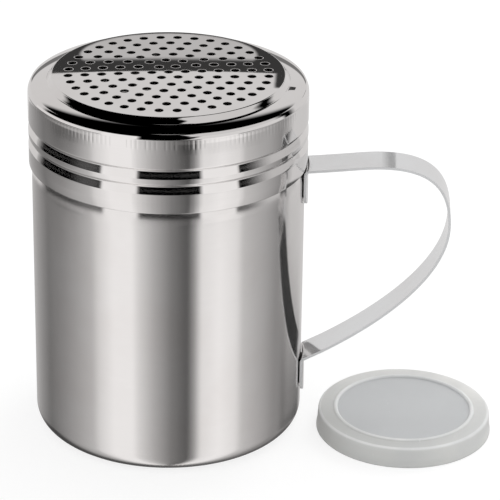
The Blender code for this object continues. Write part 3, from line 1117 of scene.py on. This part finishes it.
def mirror_angles(board):
    """A mirrored direction in degrees: its azimuth from the camera's side and from behind, height and lean.

    The lean is how far back from upright a wall leans that mirrors this direction to the camera.
    """
    ray = board.node("ShaderNodeTexCoord", output="Generated")
    side = board.dot(ray, tuple(SIDEWAYS))
    back = board.dot(ray, tuple(ONWARD))
    up = board.dot(ray, (0, 0, 1))
    level, rise = math.cos(CAMERA_RISE), math.sin(CAMERA_RISE)
    halfway = (2 - (back * level - up * rise) * 2) ** 0.5
    angles = (
        side.maths("ARCTAN2", side, 0 - back), side.maths("ARCTAN2", side, back),
        up.maths("ARCSINE", up), up.maths("ARCSINE", (up + rise) / halfway))
    return [angle * (1 / DEGREE) for angle in angles]


def lid_panels(board, azimuth, lean):
    """Bright panels over the ring, which the lid's grooves, cone, shoulder and polished step mirror."""
    in_groove = board.between(lean, *GROOVE_LEANS)
    left = board.between(azimuth, *LEFT_PANEL)
    near_left = board.between(azimuth, *NEAR_LEFT_PANEL)
    middle = board.between(azimuth, *MIDDLE_PANEL)
    # The right panel and the step's panel have ends that slant with the lean
    right = board.rise(azimuth - (lean - 16.5) * 2.05, 3, 10) * board.rise(azimuth, 107, 101)
    step = board.rise(azimuth + (lean - 26) * 0.86, 15, 21) * board.rise(azimuth - (lean - 34) * 2.5, 5, 12)
    step = step * board.rise(azimuth, 104, 92)
    glow = (left * 0.86 + near_left) * board.between(lean, *LEFT_CONE_LEANS) + near_left * in_groove
    glow = glow + middle * board.between(lean, *LINE_LEANS) * 0.8
    glow = glow + right * board.between(lean, *RIGHT_CONE_LEANS) * 0.8
    glow = glow + step * board.between(lean, *STEP_LEANS) * 0.72
    # The grooves' dark gaps fade out towards both sides
    faded = (board.rise(azimuth, 60, 92) + board.rise(azimuth, -116, -134)) * 0.6
    faded = faded + board.between(azimuth, -78, -54.5, 9) * 0.08
    return glow.maths("MAXIMUM", glow, (board.between(azimuth, *OPEN_PANEL) + faded) * in_groove)


def disc_panels(board, behind, height):
    """What the disc mirrors from behind, as masks with their levels.

    A dark window with a grey panel in it, a dark post beside it, and a dim sill under it.
    """
    corner = board.rise(behind, 3.15, 3.3) * board.rise(height, 22.35, 22.2)
    window = board.oval(behind, height, 21.35, (3.62, 3.35), 0.03)
    window = window * corner.maths("MAXIMUM", corner, board.rise(height, 21.23, 21.17))
    panel = board.oval(behind, height, 19.9, (2.62, 1.67), 0.06) * board.rise(height, 20.45, 20.05)
    post = board.rise(behind, 3.7, 8) * board.rise(behind, 9.5, 9.2)
    post = post * board.between(height, 22.45, 23.45, 0.1)
    sill = board.between(behind, -17, 18.8, 0.6) + board.between(behind, 27.6, 40, 0.6)
    sill = sill * board.between(height, 10.5, 15.4, 0.5)
    return (window, 0.045), (panel, 0.57), (post, 0.05), (sill, 0.2)


def studio_glow(board):
    """What polished steel mirrors: a soft ring with a dark gap before the camera, and panels over it."""
    azimuth, behind, height, lean = mirror_angles(board)
    around = abs(azimuth)
    stops = [(0.5 + turn / 360, level / RING_TOP) for turn, level in LIGHT_RING]
    ring = board.node("ShaderNodeValToRGB", {"stops": stops}, {"Fac": azimuth / 360 + 0.5}) * RING_TOP
    ring = ring * (1 - board.rise(height, -27, -36) * board.rise(around, 95, 135) * 0.8)
    for heights, azimuths, dimming in DIM_PARTS:
        ring = ring * (1 - board.between(height, *heights) * board.between(azimuth, *azimuths) * dimming)
    # The light behind reaches further round where leaning walls mirror it, and a faint one hangs overhead
    wider = board.rise(lean, 17.1, 18.9) * 12
    back_light = board.rise(around + wider, 122, 133) * board.rise(height, 36, 30) * 0.74
    above = lid_panels(board, azimuth, lean)
    above = above.maths("MAXIMUM", above, back_light)
    above = above.maths("MAXIMUM", above, board.rise(height, 82, 86) * 0.4)
    for mask, level in disc_panels(board, behind, height):
        above = above * (1 - mask) + mask * level
    lift = board.rise(lean, 9.15, 9.85)
    return ring * (1 - lift) + above * lift


def set_world(scene, look):
    """White behind the object, plain soft light on it, and the studio's glow for what mirrors it."""
    world = bpy.data.worlds.new("studio")
    scene.world = world
    board = Board(world)
    camera_ray, mirrored = board.ray_kinds("Is Camera Ray", "Is Glossy Ray")
    glow = board.background((1.0, 0.985, 0.98, 1), studio_glow(board))
    soft = board.background((1, 1, 1, 1), look.soft_light)
    white = board.background((1, 1, 1, 1), 1.0)
    lit = board.mix(mirrored, soft, glow)
    board.finish(board.mix(camera_ray, lit, white), "ShaderNodeOutputWorld")
    world.cycles.sampling_method = "NONE"


def set_key_light(look):
    """One large soft lamp behind and to the right, which mirrors don't show."""
    data = bpy.data.lights.new("key", "AREA")
    data.shape = "DISK"
    data.size = LAMP_WIDTH
    data.energy = look.key_light
    lamp = bpy.data.objects.new("key", data)
    lamp.location = SIDEWAYS * LAMP_ASIDE + ONWARD * LAMP_BEHIND + Vector((0, 0, LAMP_HEIGHT))
    away = Vector((0, 0, LAMP_AIM)) - lamp.location
    lamp.rotation_euler = away.to_track_quat("-Z", "Y").to_euler()
    lamp.visible_glossy = False
    bpy.context.scene.collection.objects.link(lamp)


class SHAKER_PT_pieces(bpy.types.Panel):
    """The shaker's pieces and what can be changed on them"""
    bl_idname = "SHAKER_PT_pieces"
    bl_label = "Spice shaker"
    bl_space_type = "VIEW_3D"
    bl_region_type = "UI"
    bl_category = "Shaker"

    def draw(self, context):
        settings = context.scene.shaker
        for operator, groups in PIECES:
            box = self.layout.box()
            box.operator(operator.bl_idname)
            for group_name in groups:
                sizes = getattr(settings, group_name)
                for name in sizes.__annotations__:
                    box.prop(sizes, name)


PIECES = (
    (SHAKER_OT_stage, ("studio",)),
    (SHAKER_OT_cup, ("cup", "wall_steel")),
    (SHAKER_OT_strap, ("strap", "strap_steel", "sheared_steel", "gap_shade_steel")),
    (SHAKER_OT_lid, ("lid", "mirror_steel", "band_steel", "hole_shade_steel")),
    (SHAKER_OT_cap, ("cap", "frosted_plastic")),
)
CLASSES = (
    ShakerCupSizes, ShakerStrapSizes, ShakerLidSizes, ShakerCapSizes, ShakerSteelLook, ShakerPlasticLook,
    ShakerStudioLook, ShakerSettings, *(operator for operator, _ in PIECES), SHAKER_PT_pieces)


def register():
    """Add the classes and the scene's settings."""
    for item in CLASSES:
        bpy.utils.register_class(item)
    bpy.types.Scene.shaker = group(ShakerSettings)


def unregister():
    """Take the settings and the classes away again."""
    del bpy.types.Scene.shaker
    for item in reversed(CLASSES):
        bpy.utils.unregister_class(item)


def main():
    """Register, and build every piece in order."""
    register()
    settings = bpy.context.scene.shaker
    for steel_name, look in STEEL_LOOKS.items():
        for name, value in look.items():
            setattr(getattr(settings, steel_name), name, value)
    for operator, _ in PIECES:
        module, name = operator.bl_idname.split(".")
        getattr(getattr(bpy.ops, module), name)()


if __name__ == "__main__":
    main()
